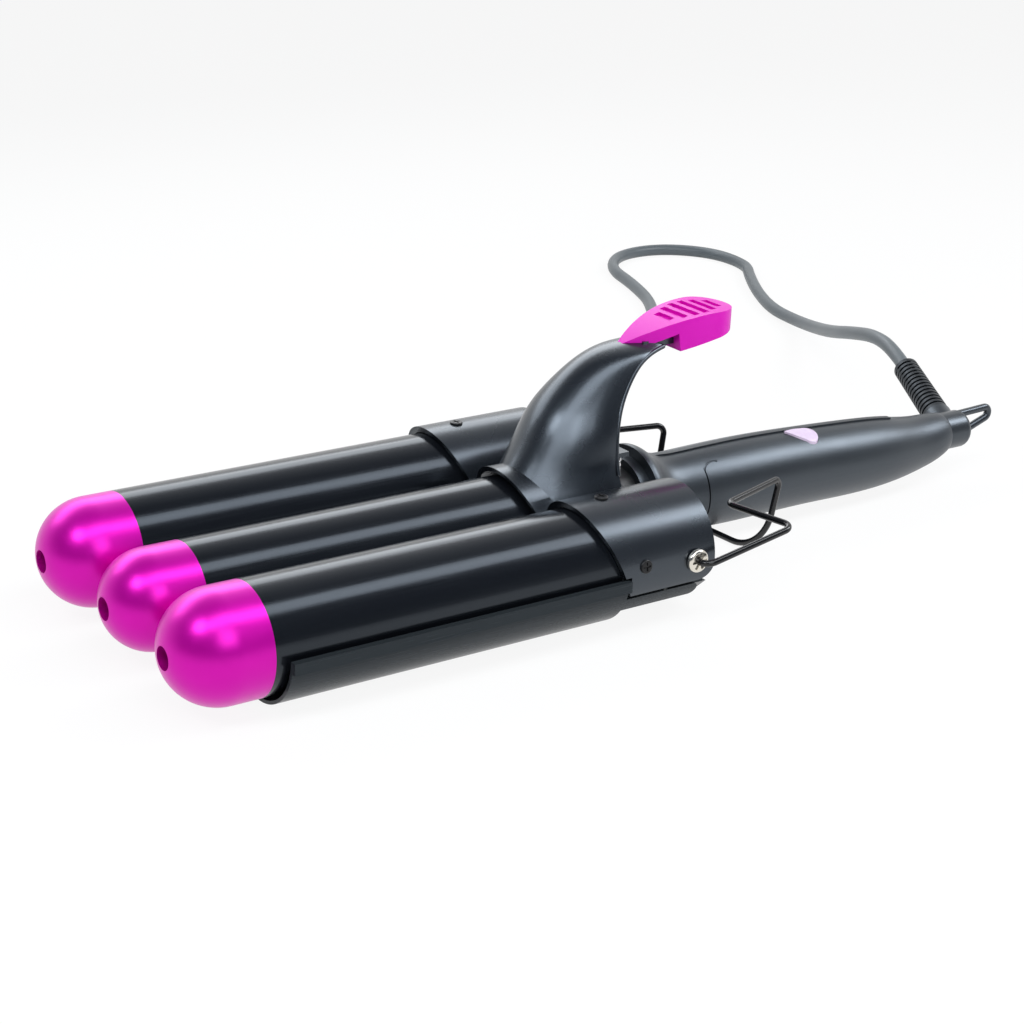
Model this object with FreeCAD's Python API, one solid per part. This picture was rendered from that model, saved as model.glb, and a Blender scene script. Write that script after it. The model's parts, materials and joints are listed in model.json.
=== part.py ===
import FreeCAD, Part
import math
import os

# Hair waver: three parallel heated barrels, the outer two on a sprung jaw with a thumb lever.
# Millimetres. The shapes are drawn from the tips (x = 0) and from the axes of the outer barrels
# (z = 0), and moved to the part's own frame when they are saved: bottom centre, handle towards +X.

# Barrels and caps
barrel_r = 16.0
middle_barrel_r = 14.45
barrel_wall = 1.0
barrel_gap = 6.88
middle_drop = 0.65
middle_setback = 1.3
cap_length = 24.15
cap_wall = 2.0
cap_spigot = 6.0
tip_hole_r = 3.3
tip_hole_depth = 8.0
tip_boss_wall = 1.6
barrel_rear = 150.0
slip_fit = 0.05
core_half_width = 4.5
core_front_gap = 2.0
core_length = 94.0
core_screw_depth = 10.0
plug_length = 14.5
plug_flange = 2.0
plug_bore_r = 5.0
cap_screw_head_r = 2.6
cap_screw_head = 1.8
cap_screw_r = 1.2
screw_clearance = 0.05

# Cover with the lever, on the hinge
cover_wall = 1.9
cover_gap = 0.25
cover_rear = 167.5
cover_front_top = 127.5
cover_front_slant = 0.43
middle_arch_gap = 1.45
middle_arch_wall = 1.5
web_top = 5.5
web_thickness = 1.5
valley_fillet = 2.3
skirt_depth = 6.0
skirt_gap = 0.7
skirt_corner_r = 5.0
rear_notch_front = 162.0
rear_notch_half = 14.5
rear_notch_top = 21.0
rear_notch_corner = 4.0
hinge_x = 160.5
hinge_z = 1.0
lever_wall = 2.0
lever_hollow_half = 14.5
tongue_half_width = 4.6
tongue_thickness = 2.0
tongue_rise = 1.6
tongue_end = 206.0
spring_seat_z = 16.5
spring_seat_thickness = 1.5
spring_seat_front = 155.0
spring_seat_rear = 170.5
spring_seat_half = 9.5
top_screw_back = 11.3
side_screw_back = 14.7
side_screw_z = 2.6
cover_screw_r = 1.2
cover_screw_head_r = 2.0
cover_screw_head = 0.6
screw_slot_width = 0.55
screw_slot_depth = 0.35
cover_screw_length = 7.0

# Thumb tab
tab_front = 171.5
tab_rear = 212.5
tab_half_width = 9.2
tab_widest = 202.0
tab_front_top = 49.2
tab_mid_top = 56.3
tab_rear_top = 56.8
tab_front_bottom = 46.0
tab_step = 188.8
tab_step_top = 52.0
tab_skirt_front_bottom = 46.4
tab_skirt_rear_bottom = 51.2
tab_wall = 1.8
tab_groove_count = 6
tab_groove_first = 187.5
tab_groove_pitch = 3.7
tab_groove_width = 2.2
tab_groove_depth = 1.0
tab_groove_reach = 0.76

# Lower tray, hinge yoke and neck
tray_gap = 1.3
tray_sheet = 1.0
tray_front = 27.6
tray_rear = 136.6
tray_wall_top = -0.5
tray_crest = -8.4
tray_floor = -16.6
tray_floor_half = 13.3
tray_ridge_half = 20.4
lip_height = 3.3
lip_out = 1.1
skid_half_width = 4.0
skid_inset = 6.0
skid_height = 0.8
tongue_plate_rear = 163.0
tongue_plate_top = -6.8
tongue_plate_bottom = -11.0
tongue_plate_r = 2.0
yoke_front = 153.0
yoke_rear = 168.0
yoke_sheet = 1.5
ear_inset = 3.88
ear_r = 6.0
ear_bottom = -8.2
yoke_knee_in = 5.1
yoke_knee_z = -12.9
yoke_slope = 18.6
rivet_r = 2.3
rivet_head_r = 3.5
rivet_head = 1.4
rivet_tail_r = 3.0
rivet_tail = 0.8
rivet_slot_length = 5.2
rivet_slot_width = 1.0
rivet_slot_depth = 0.6
hinge_clearance = 0.06
washer_r = 4.2
washer_thickness = 1.0
neck_r = 11.0
neck_z = -1.5
neck_rear = 190.0
neck_bore_r = 6.0
mount_spigot = 12.0
foot_half_width = 9.0
spring_x = 167.0
spring_y = 5.5
spring_r = 2.55
spring_wire_r = 0.55
spring_turns = 4.5
spring_pad_z = 8.0
spring_peg_r = 1.5
spring_peg = 2.2

# Handle: stations along its axis as distance from the tips, height of the axis, radius
handle_stations = [(178.5, -1.5, 16.9), (180.2, -1.5, 16.9), (183.2, -1.7, 15.4), (187.0, -2.0, 13.5),
                   (191.5, -2.2, 12.75), (197.5, -2.4, 12.85), (206.0, -2.6, 13.2), (227.0, -2.7, 13.3),
                   (249.0, -3.1, 12.85), (268.0, -3.8, 12.5), (287.0, -4.3, 11.3), (302.0, -4.2, 9.2),
                   (310.5, -3.2, 7.9), (313.6, -2.7, 7.0)]
handle_wall = 2.0
handle_split = -4.5
collar_rear = 201.0
collar_gap = 0.5
collar_nose_length = 3.5
collar_nose_r = 13.6
collar_spigot = 6.0
end_wall_front = 307.5
strip_front = 186.0
strip_rear = 289.0
strip_half_width = 1.0
strip_height = 0.5
strip_front_top = 11.2
groove_angle = 39.0
groove_r = 0.3
groove_reach = 6.0
handle_screw_x = (216.0, 286.0)
handle_screw_r = 1.2
handle_screw_head_r = 2.3
handle_screw_head = 1.6
handle_screw_seat = -12.0
screw_boss_r = 3.2
board_front = 226.0
board_rear = 276.0
board_half_width = 8.0
board_thickness = 1.6
board_top = -2.9
board_post_r = 1.8
board_post_inset = 4.0
switch_half = 3.0
switch_height = 3.4
plunger_r = 1.7
plunger_height = 0.8
button_x = 248.2
button_y = -4.8
button_turn = 160.0
button_r = 3.3
button_tip = 8.4
button_bottom = 2.2
button_flange = 1.0
button_flange_out = 0.5
button_proud = 0.6
button_clearance = 0.15

# Swivelling cord exit with hang loop
swivel_shaft_r = 4.0
swivel_flange_r = 4.8
swivel_flange_front = 303.6
swivel_flange = 2.4
elbow_x = 317.8
elbow_z = -2.4
elbow_r = 6.4
elbow_front = 314.1
elbow_rear = 324.6
elbow_round = 2.6
branch_direction = (0.357, 0.899, 0.253)
branch_r = 4.95
branch_length = 9.0
relief_length = 31.0
relief_base_r = 4.75
relief_tip_r = 4.4
relief_rib_count = 14
relief_groove_depth = 0.8
relief_spine_half = 0.6
relief_spine_turn = 20.0
loop_r = 1.3
loop_rear = 337.2
loop_corner_r = 2.0
loop_corner_z = 1.2
loop_top = 2.6
loop_bottom = -6.7

# Wire stand: half of its centre line, from the rivet to the middle of the sling under the handle
stand_r = 1.0
stand_bore_clearance = 0.08
stand_inner_reach = 2.1
stand_side_gap = 5.02
stand_lean = 0.5
stand_shoulder = (193.5, 6.5)
stand_points = [(187.5, 36.5, 7.0), (215.5, 28.5, 7.7), (211.5, 27.3, -17.3)]
stand_sling_x = 210.0
stand_bend_r = (3.0, 3.0, 2.6, 2.6, 14.0)
stand_sling_r = 60.0

# Cord, measured on the table: lead, hank, tie and plug
cord_r = 2.5
table_gap = 0.05
lead_start_gap = 0.1
lead_exit_run = 13.5
lead_points = [(342.5, 63.5, 11.3), (350.5, 84.0, 6.0), (363.0, 107.0, -1.5), (379.0, 133.0, -9.0),
               (391.5, 158.0, -14.2), (398.0, 181.0, -15.7), (410.0, 204.5, -15.75), (425.0, 227.5, -15.75),
               (437.0, 243.5, -15.75), (437.5, 268.5, -15.75), (419.5, 286.0, -15.75), (394.5, 285.0, -15.75),
               (376.5, 267.5, -15.75), (369.0, 241.0, -15.75), (357.0, 212.0, -15.75), (335.0, 184.5, -15.75),
               (306.0, 161.0, -15.75), (275.0, 138.0, -15.75), (243.0, 118.0, -15.75), (212.0, 104.5, -15.6),
               (190.0, 99.0, -15.3)]
lead_approach = 22.0
hank_middle = 101.0
hank_run = 80.0
hank_near = 56.0
hank_lane = 5.65
hank_fold_r = 15.0
hank_lift = 0.8
hank_layer = 5.5
hank_waist = 5.0
tail_straight = 3.0
tail_bend_r = 25.0
tie_width = 12.0
tie_thickness = 0.7
tie_gap = 0.3
plug_relief_length = 8.0
plug_relief_r = 3.6
plug_length_body = 23.0
plug_half_width = 7.0
plug_corner_r = 3.0
pin_spacing = 12.7
pin_thickness = 1.5
pin_width = 6.35
pin_length = 16.0

# Values that follow from the sizes above
barrel_pitch = barrel_r + middle_barrel_r + barrel_gap
cover_r = barrel_r + cover_gap + cover_wall
cover_inner_r = barrel_r + cover_gap
top_screw_x = cover_front_top + top_screw_back
side_screw_x = cover_front_top + side_screw_back
middle_arch_inner_r = middle_barrel_r + middle_arch_gap
middle_arch_r = middle_arch_inner_r + middle_arch_wall
tray_inner_r = barrel_r + tray_gap
tray_r = tray_inner_r + tray_sheet
table_z = -tray_r
plug_start = barrel_rear - plug_length
ear_outer = barrel_pitch + cover_r - ear_inset
yoke_knee_y = ear_outer - yoke_knee_in
yoke_floor_half = ear_outer - yoke_slope
stand_side = barrel_pitch + cover_r + stand_side_gap
stand_inner_end = ear_outer - yoke_sheet - stand_inner_reach
collar_nose = handle_stations[0][0] - collar_nose_length
loop_end = loop_rear + loop_r
middle_x = loop_end / 2
cord_z = table_z + cord_r + table_gap
FAR = 400.0


def vec(x, y, z):
    return FreeCAD.Vector(x, y, z)


X_AXIS = vec(1, 0, 0)
Y_AXIS = vec(0, 1, 0)
Z_AXIS = vec(0, 0, 1)


def save(name, *solids):
    """Moves the solids to the part's frame and writes them as one node."""
    shape = solids[0] if len(solids) == 1 else Part.makeCompound(list(solids))
    moved = shape.copy()
    moved.translate(vec(-middle_x, 0, tray_r))
    moved.exportStep("parts/" + name + ".step")


def rod_x(radius, start, end, y=0.0, z=0.0):
    return Part.makeCylinder(radius, end - start, vec(start, y, z), X_AXIS)


def tube_x(radius, inner, start, end, y=0.0, z=0.0):
    return rod_x(radius, start, end, y, z).cut(rod_x(inner, start - 1, end + 1, y, z))


def box(x0, x1, y0, y1, z0, z1):
    return Part.makeBox(x1 - x0, y1 - y0, z1 - z0, vec(x0, y0, z0))


def plate(points, start, direction):
    """Extrudes a closed outline of straight sides."""
    wire = Part.makePolygon([vec(*p) for p in points] + [vec(*points[0])])
    return Part.Face(wire).extrude(direction * start)


def mirrored(shape):
    return shape.mirror(vec(0, 0, 0), Y_AXIS)


def both_sides(shape):
    """The shape and its mirror image across the middle plane."""
    return [shape, mirrored(shape)]


def one_solid(shape):
    """The single solid of a boolean result."""
    shape = shape.removeSplitter()
    return shape.Solids[0] if len(shape.Solids) == 1 else shape


def rounded_path(points, radii):
    """Straight runs joined by tangent arcs, one radius for each inner point."""
    edges = []
    last = vec(*points[0])
    for i in range(1, len(points) - 1):
        corner = vec(*points[i])
        back = (vec(*points[i - 1]) - corner).normalize()
        ahead = (vec(*points[i + 1]) - corner).normalize()
        half = back.getAngle(ahead) / 2
        reach = radii[i - 1] / math.tan(half)
        begin = corner + back * reach
        end = corner + ahead * reach
        inward = (back + ahead).normalize()
        middle = corner + inward * (radii[i - 1] / math.sin(half) - radii[i - 1])
        if (begin - last).Length > 1e-6:
            edges.append(Part.LineSegment(last, begin).toShape())
        edges.append(Part.Arc(begin, middle, end).toShape())
        last = end
    edges.append(Part.LineSegment(last, vec(*points[-1])).toShape())
    return Part.Wire(edges)


def pipe(path, radius):
    """A round bar along a path of lines and arcs."""
    first = path.OrderedEdges[0]
    start = first.valueAt(first.FirstParameter)
    tangent = first.tangentAt(first.FirstParameter)
    if first.Orientation == "Reversed":
        start = first.valueAt(first.LastParameter)
        tangent = first.tangentAt(first.LastParameter) * -1
    ring = Part.Wire([Part.makeCircle(radius, start, tangent)])
    return path.makePipeShell([ring], True, False)


def check_volume(name, solid, path, radius):
    expected = math.pi * radius ** 2 * path.Length
    print(name, "length", round(path.Length, 1), "volume ratio", round(solid.Volume / expected, 4))


def dome_cap(radius, tip, y, z):
    """Domed end cap with a spigot for the barrel and a recessed screw hole in its tip."""
    joint = tip + cap_length
    centre = tip + math.sqrt(radius ** 2 - tip_hole_r ** 2)
    middle = vec(centre, y, z)
    dome = Part.makeSphere(radius, middle, X_AXIS * -1, 0, 90, 360)
    hollow = Part.makeSphere(radius - cap_wall, middle, X_AXIS * -1, 0, 90, 360)
    spigot_end = joint + cap_spigot
    shell = dome.fuse([rod_x(radius, centre, joint, y, z),
                       rod_x(radius - barrel_wall - slip_fit, joint - 1, spigot_end, y, z)])
    shell = shell.cut(hollow.fuse(rod_x(radius - cap_wall, centre, spigot_end + 1, y, z)))
    seat = tip + tip_hole_depth
    boss = rod_x(tip_hole_r + tip_boss_wall, tip + cap_wall / 2, seat + tip_boss_wall, y, z)
    shell = shell.fuse(boss)
    shell = shell.cut(rod_x(tip_hole_r, tip - 1, seat, y, z))
    return one_solid(shell.cut(rod_x(cap_screw_r + screw_clearance, seat - 1, joint, y, z)))


def cap_screw(tip, y, z):
    seat = tip + tip_hole_depth
    core_front = tip + cap_length + cap_spigot + core_front_gap
    head = rod_x(cap_screw_head_r, seat - cap_screw_head, seat, y, z)
    return one_solid(head.fuse(rod_x(cap_screw_r, seat - 1, core_front + core_screw_depth, y, z)))


def heater_core(radius, tip, y, z):
    """Flat-sided metal core whose curved faces heat the barrel from inside."""
    front = tip + cap_length + cap_spigot + core_front_gap
    rear = front + core_length
    reach = radius - barrel_wall - slip_fit
    core = rod_x(reach, front, rear, y, z)
    core = core.common(box(front, rear, y - core_half_width, y + core_half_width, z - radius, z + radius))
    hole = rod_x(cap_screw_r + screw_clearance, front - 1, front + core_screw_depth + 0.5, y, z)
    return one_solid(core.cut(hole))


def cover_screw_places(side):
    """Seat and outward direction of the two screws that hold an outer barrel in the cover."""
    y = side * barrel_pitch
    top = (vec(top_screw_x, y, cover_r), Z_AXIS)
    angle = math.asin(side_screw_z / cover_r)
    out = vec(0, side * math.cos(angle), math.sin(angle))
    return [top, (vec(side_screw_x, y, 0) + out * cover_r, out)]


def cover_screw_holes(side):
    """Clearance holes through cover, barrel and plug."""
    holes = []
    for seat, out in cover_screw_places(side):
        start = seat + out * 2
        holes.append(Part.makeCylinder(cover_screw_r + screw_clearance, cover_screw_length + 3, start, out * -1))
    return holes[0].fuse(holes[1])


def slots(centre, out, count, length, width, depth):
    """Crossed slots for a screw or rivet head, cut down from the centre of its face."""
    bars = []
    for k in range(count):
        bar = Part.makeBox(length, width, 2 * depth, vec(-length / 2, -width / 2, -depth))
        bar.rotate(vec(0, 0, 0), Z_AXIS, 180 * k / count)
        bar.Placement = FreeCAD.Placement(centre, FreeCAD.Rotation(Z_AXIS, out)).multiply(bar.Placement)
        bars.append(bar)
    return bars[0].fuse(bars[1:])


def cover_screws(side):
    screws = []
    for seat, out in cover_screw_places(side):
        head = Part.makeCylinder(cover_screw_head_r, cover_screw_head, seat, out)
        rim = [e for e in head.Edges if (e.CenterOfMass - seat).dot(out) > cover_screw_head / 2 and e.Closed]
        head = head.makeFillet(cover_screw_head * 0.6, rim[:1])
        head = head.fuse(Part.makeCylinder(cover_screw_r, cover_screw_length, seat, out * -1))
        cross = slots(seat + out * cover_screw_head, out, 2, cover_screw_head_r * 1.3, screw_slot_width, screw_slot_depth)
        screws.append(one_solid(head.cut(cross)))
    return screws


def outer_barrel(side):
    y = side * barrel_pitch
    return one_solid(tube_x(barrel_r, barrel_r - barrel_wall, cap_length, barrel_rear, y)
                     .cut(cover_screw_holes(side)))


def barrel_plug(side):
    """Insulating plug that closes the rear of an outer barrel and takes its screws."""
    y = side * barrel_pitch
    plug = rod_x(barrel_r - barrel_wall - slip_fit, plug_start, barrel_rear, y)
    plug = plug.fuse(rod_x(barrel_r, barrel_rear, barrel_rear + plug_flange, y))
    plug = plug.cut(rod_x(plug_bore_r, plug_start - 1, barrel_rear + plug_flange + 1, y))
    return one_solid(plug.cut(cover_screw_holes(side)))


# Lever sections from its base to the tab: spine x and z, rear edge x and z, half width
lever_sections = [(131.0, 6.0, 163.6, 1.0, 23.5), (131.2, 13.0, 162.2, 8.0, 20.0),
                  (136.6, 22.0, 159.6, 19.5, 17.6), (140.0, 28.5, 160.4, 27.9, 16.2),
                  (144.5, 35.0, 162.8, 34.3, 14.1), (150.6, 40.8, 167.1, 40.2, 11.8),
                  (158.2, 45.9, 172.5, 45.4, 9.6), (167.5, 49.0, 178.5, 47.8, 7.8),
                  (178.5, 50.4, 185.0, 48.6, 6.3)]
section_points = 11


def lever_wire(section, inset):
    """One section of the lever: a rounded spine with side walls that run back to the rear edge."""
    fx, fz, rx, rz, half = section
    front = vec(fx, 0, fz)
    rear = vec(rx, 0, rz)
    along = (rear - front).normalize()
    depth = (rear - front).Length
    if inset:
        front = front + along * inset
        half = min(half - inset, lever_hollow_half)
    points = []
    for k in range(section_points):
        angle = math.pi * (k / (section_points - 1) - 0.5)
        reach = depth * (1 - math.cos(angle))
        points.append(front + along * reach + Y_AXIS * (half * math.sin(angle)))
    curve = Part.BSplineCurve()
    curve.interpolate(points)
    return Part.Wire([curve.toShape(), Part.LineSegment(points[-1], points[0]).toShape()])


def lever_solid(inset):
    return Part.makeLoft([lever_wire(s, inset) for s in lever_sections], True, False)


def lever_tongue():
    """Flat tongue at the top of the lever, inside the tab."""
    fx, fz, rx, rz, half = lever_sections[-1]
    top = rz + tongue_rise
    return box(fx - 1, tongue_end, -tongue_half_width, tongue_half_width, top - tongue_thickness, top)


def cover_front(z):
    return cover_front_top + cover_front_slant * (cover_r - z)


def cover():
    """Pressed cover with three arches, its lever and the seat for the springs."""
    start = cover_front_top - 8
    end = cover_rear
    outer = rod_x(cover_r, start, end, -barrel_pitch)
    outer = outer.fuse([rod_x(cover_r, start, end, barrel_pitch),
                        rod_x(middle_arch_r, start, end, 0, -middle_drop),
                        box(start, end, -barrel_pitch, barrel_pitch, -skirt_depth, web_top)]).removeSplitter()
    valleys = []
    for edge in outer.Edges:
        middle = edge.CenterOfMass
        if abs(middle.z - web_top) < 0.01 and edge.BoundBox.XLength > end - start - 0.1 and abs(middle.y) > 1:
            valleys.append(edge)
    outer = outer.makeFillet(valley_fillet, valleys)
    front = [(start - 1, 0, -60), (cover_front(-60), 0, -60), (cover_front(60), 0, 60), (start - 20, 0, 60)]
    wedge = plate([(x, -FAR, z) for x, y, z in front], 2 * FAR, Y_AXIS)
    outer = outer.fuse([lever_solid(0), lever_tongue()]).cut(wedge)
    inside = rod_x(cover_inner_r, start - 1, end + 1, -barrel_pitch)
    inside = inside.fuse([rod_x(cover_inner_r, start - 1, end + 1, barrel_pitch),
                          rod_x(middle_arch_inner_r, start - 1, end + 1, 0, -middle_drop),
                          box(start - 1, end + 1, -barrel_pitch, barrel_pitch, -60, web_top - web_thickness)])
    shell = outer.cut(inside).cut(lever_solid(lever_wall))
    notch = box(rear_notch_front, end + 1, -rear_notch_half, rear_notch_half, -60, rear_notch_top)
    corners = [e for e in notch.Edges if e.BoundBox.ZLength > 10 and e.CenterOfMass.x < rear_notch_front + 1]
    shell = shell.cut(notch.makeFillet(rear_notch_corner, corners))
    shell = shell.cut(box(0, FAR, -FAR, FAR, -60, -skirt_depth))
    shell = shell.cut(box(0, tray_rear + skirt_gap, -FAR, FAR, -60, tray_wall_top + skirt_gap))
    seat = box(spring_seat_front, spring_seat_rear, -spring_seat_half, spring_seat_half,
               spring_seat_z, spring_seat_z + spring_seat_thickness)
    beside = box(spring_seat_front, rear_notch_front - 1, -FAR, FAR, spring_seat_z,
                 spring_seat_z + spring_seat_thickness)
    shell = shell.fuse([seat, beside.common(lever_solid(lever_wall / 2))])
    for side in (-1, 1):
        shell = shell.cut(cover_screw_holes(side))
    hole = Part.makeCylinder(rivet_r + hinge_clearance, 2 * FAR, vec(hinge_x, -FAR, hinge_z), Y_AXIS)
    return round_skirt_corners(one_solid(shell.cut(hole)))


def round_skirt_corners(shell):
    """Rounds the lower rear corners of the outer skirts."""
    corners = []
    for edge in shell.Edges:
        middle = edge.CenterOfMass
        at_rear = abs(middle.x - cover_rear) < 0.01 and abs(middle.z + skirt_depth) < 0.01
        if at_rear and abs(middle.y) > barrel_pitch:
            corners.append(edge)
    return one_solid(shell.makeFillet(skirt_corner_r, corners))


def tab_outline():
    """Leaf-shaped outline of the tab, seen from above."""
    blunt = 0.8
    swell = (tab_front + tab_widest) / 2
    nose_left = vec(tab_front, -blunt, 0)
    nose_right = vec(tab_front, blunt, 0)
    left = vec(tab_widest, -tab_half_width, 0)
    right = vec(tab_widest, tab_half_width, 0)
    side_left = vec(swell, -tab_half_width * 0.76, 0)
    side_right = vec(swell, tab_half_width * 0.76, 0)
    edges = [Part.Arc(nose_left, side_left, left).toShape(),
             Part.Arc(left, vec(tab_rear, 0, 0), right).toShape(),
             Part.Arc(right, side_right, nose_right).toShape(),
             Part.LineSegment(nose_right, nose_left).toShape()]
    return Part.Wire(edges)


def thumb_tab(lever):
    """Tab with a crowned ribbed top and a deeper skirt round its rear half, clipped on the tongue."""
    top = Part.Arc(vec(tab_front - 1, -30, tab_front_top - 0.4),
                   vec((tab_front + tab_rear) / 2, -30, tab_mid_top),
                   vec(tab_rear + 1, -30, tab_rear_top))
    corners = [vec(tab_rear + 1, -30, tab_rear_top), vec(tab_rear + 1, -30, tab_skirt_rear_bottom),
               vec(tab_step + 0.8, -30, tab_skirt_front_bottom), vec(tab_step, -30, tab_step_top),
               vec(tab_front - 1, -30, tab_front_bottom), vec(tab_front - 1, -30, tab_front_top - 0.4)]
    edges = [top.toShape()]
    for a, b in zip(corners, corners[1:]):
        edges.append(Part.LineSegment(a, b).toShape())
    side = Part.Face(Part.Wire(edges)).extrude(Y_AXIS * 60)
    plan = Part.Face(tab_outline())
    plan.translate(vec(0, 0, tab_skirt_front_bottom - 5))
    body = plan.extrude(Z_AXIS * 30).common(side)
    inner = tab_outline().makeOffset2D(-tab_wall)
    inner.translate(vec(0, 0, tab_skirt_front_bottom - 5))
    hollow_top = lever_sections[-1][3] + tongue_rise
    hollow = Part.Face(inner).extrude(Z_AXIS * (hollow_top - tab_skirt_front_bottom + 5))
    body = body.cut(hollow.common(box(tab_step + tab_wall, FAR, -FAR, FAR, 0, FAR)))
    for k in range(tab_groove_count):
        x = tab_groove_first + k * tab_groove_pitch
        half = tab_half_width * tab_groove_reach * math.sin(math.pi * (k + 1.4) / (tab_groove_count + 1.8))
        cutter = box(x, x + tab_groove_width, -half, half, tab_mid_top - 3, tab_mid_top + 3)
        body = body.cut(cutter.cut(groove_floor()))
    return max(body.cut(lever).Solids, key=lambda solid: solid.Volume)


def groove_floor():
    """What lies below the floor of the grooves: the tab's crown, one groove depth lower."""
    drop = tab_groove_depth
    top = Part.Arc(vec(tab_front - 1, -30, tab_front_top - 0.4 - drop),
                   vec((tab_front + tab_rear) / 2, -30, tab_mid_top - drop),
                   vec(tab_rear + 1, -30, tab_rear_top - drop))
    low_rear = vec(tab_rear + 1, -30, 0)
    low_front = vec(tab_front - 1, -30, 0)
    edges = [top.toShape(), Part.LineSegment(vec(tab_rear + 1, -30, tab_rear_top - drop), low_rear).toShape(),
             Part.LineSegment(low_rear, low_front).toShape(),
             Part.LineSegment(low_front, vec(tab_front - 1, -30, tab_front_top - 0.4 - drop)).toShape()]
    return Part.Face(Part.Wire(edges)).extrude(Y_AXIS * 60)


def lower_tray():
    """Pressed tray: a trough with a flat skid under each outer barrel, a floor under the middle one."""
    ring = tube_x(tray_r, tray_inner_r, tray_front, tray_rear, -barrel_pitch)
    ring = ring.cut(box(0, FAR, -FAR, -barrel_pitch, tray_wall_top, FAR))
    ring = ring.cut(box(0, FAR, -barrel_pitch, FAR, tray_crest, FAR))
    wall_y = barrel_pitch + math.sqrt(tray_r ** 2 - tray_wall_top ** 2)
    lip = box(tray_front, tray_rear, -wall_y - lip_out, -wall_y + tray_sheet / 2,
              tray_wall_top - lip_height, tray_wall_top)
    lip = lip.cut(rod_x(tray_inner_r + tray_sheet / 2, 0, FAR, -barrel_pitch))
    tongue = tube_x(tray_r, tray_inner_r, tray_rear - 1, tongue_plate_rear, -barrel_pitch)
    outline = box(tray_rear - 1, tongue_plate_rear, -FAR, -barrel_pitch, tongue_plate_bottom, tongue_plate_top)
    ends = [e for e in outline.Edges if e.BoundBox.YLength > 10 and e.CenterOfMass.x > tray_rear + 1]
    tongue = tongue.common(outline.makeFillet(tongue_plate_r, ends))
    ring_y = barrel_pitch - math.sqrt(tray_inner_r ** 2 - tray_crest ** 2)
    s = tray_sheet
    half = [(-ring_y - 0.6, tray_crest), (-tray_ridge_half, tray_crest), (-tray_floor_half, tray_floor)]
    under = [(-tray_floor_half - 0.5 * s, tray_floor - s), (-ring_y, tray_crest - 1.2 * s)]
    section = half + [(-y, z) for y, z in half[::-1]] + [(-y, z) for y, z in under[::-1]] + under
    middle = plate([(tray_front, y, z) for y, z in section], tray_rear - tray_front, X_AXIS)
    floor = box(tray_rear - 1, yoke_rear, -tray_floor_half, tray_floor_half, tray_floor - s, tray_floor)
    skid = box(tray_front + skid_inset, tray_rear - skid_inset, -barrel_pitch - skid_half_width,
               -barrel_pitch + skid_half_width, table_z, table_z + skid_height)
    skid = skid.cut(rod_x(tray_inner_r + tray_sheet / 2, 0, FAR, -barrel_pitch))
    halves = both_sides(ring.fuse([lip, tongue, skid]))
    return one_solid(halves[0].fuse([halves[1], middle, floor]))


def hinge_yoke():
    """Bent plate with an ear inside each outer arch, fixed on the tray's floor."""
    inner = ear_outer - yoke_sheet
    outside = [(-ear_outer, hinge_z), (-ear_outer, ear_bottom), (-yoke_knee_y, yoke_knee_z),
               (-yoke_floor_half, tray_floor)]
    slope_gap = yoke_sheet * 0.35
    inside = [(-yoke_floor_half + slope_gap, tray_floor + yoke_sheet),
              (-yoke_knee_y + 2 * slope_gap, yoke_knee_z + yoke_sheet), (-inner, ear_bottom + slope_gap),
              (-inner, hinge_z)]
    section = outside + [(-y, z) for y, z in outside[::-1]] + [(-y, z) for y, z in inside[::-1]] + inside
    strip = plate([(yoke_front, y, z) for y, z in section], yoke_rear - yoke_front, X_AXIS)
    ear = Part.makeCylinder(ear_r, yoke_sheet, vec(hinge_x, -ear_outer, hinge_z), Y_AXIS)
    trim = box(0, FAR, -FAR, -inner + 0.01, ear_bottom, FAR)
    trim = trim.cut(box(hinge_x - ear_r, hinge_x + ear_r, -FAR, FAR, ear_bottom - 1, hinge_z + ear_r + 1))
    for cutter in both_sides(trim):
        strip = strip.cut(cutter)
    ears = both_sides(ear)
    hole = Part.makeCylinder(rivet_r + 0.02, 2 * FAR, vec(hinge_x, -FAR, hinge_z), Y_AXIS)
    return one_solid(strip.fuse(ears).cut(hole))


def hinge_rivet(side):
    """Hollow rivet through the cover and the ear, with the stand's wire in its bore."""
    y_out = side * (barrel_pitch + math.sqrt(cover_r ** 2 - hinge_z ** 2) + 0.3)
    y_in = side * (ear_outer - yoke_sheet)
    out = Y_AXIS * side
    shank = Part.makeCylinder(rivet_r, abs(y_out - y_in) + rivet_tail, vec(hinge_x, y_out, hinge_z), out * -1)
    head = Part.makeCylinder(rivet_head_r, rivet_head, vec(hinge_x, y_out, hinge_z), out)
    rim = [e for e in head.Edges if e.Closed and (e.CenterOfMass.y - y_out) * side > rivet_head / 2]
    head = head.makeFillet(rivet_head * 0.6, rim[:1])
    tail = Part.makeCylinder(rivet_tail_r, rivet_tail, vec(hinge_x, y_in, hinge_z), out * -1)
    bore = Part.makeCylinder(stand_r + stand_bore_clearance, 2 * FAR, vec(hinge_x, -FAR, hinge_z), Y_AXIS)
    face = vec(hinge_x, y_out + side * rivet_head, hinge_z)
    star = slots(face, out, 3, rivet_slot_length, rivet_slot_width, rivet_slot_depth)
    return one_solid(shank.fuse([head, tail]).cut(bore).cut(star))


def hinge_washer(side):
    base = vec(hinge_x, side * ear_outer, hinge_z)
    ring = Part.makeCylinder(washer_r, washer_thickness, base, Y_AXIS * side)
    return ring.cut(Part.makeCylinder(rivet_r + hinge_clearance, 4, base - Y_AXIS * side, Y_AXIS * side))


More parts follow.
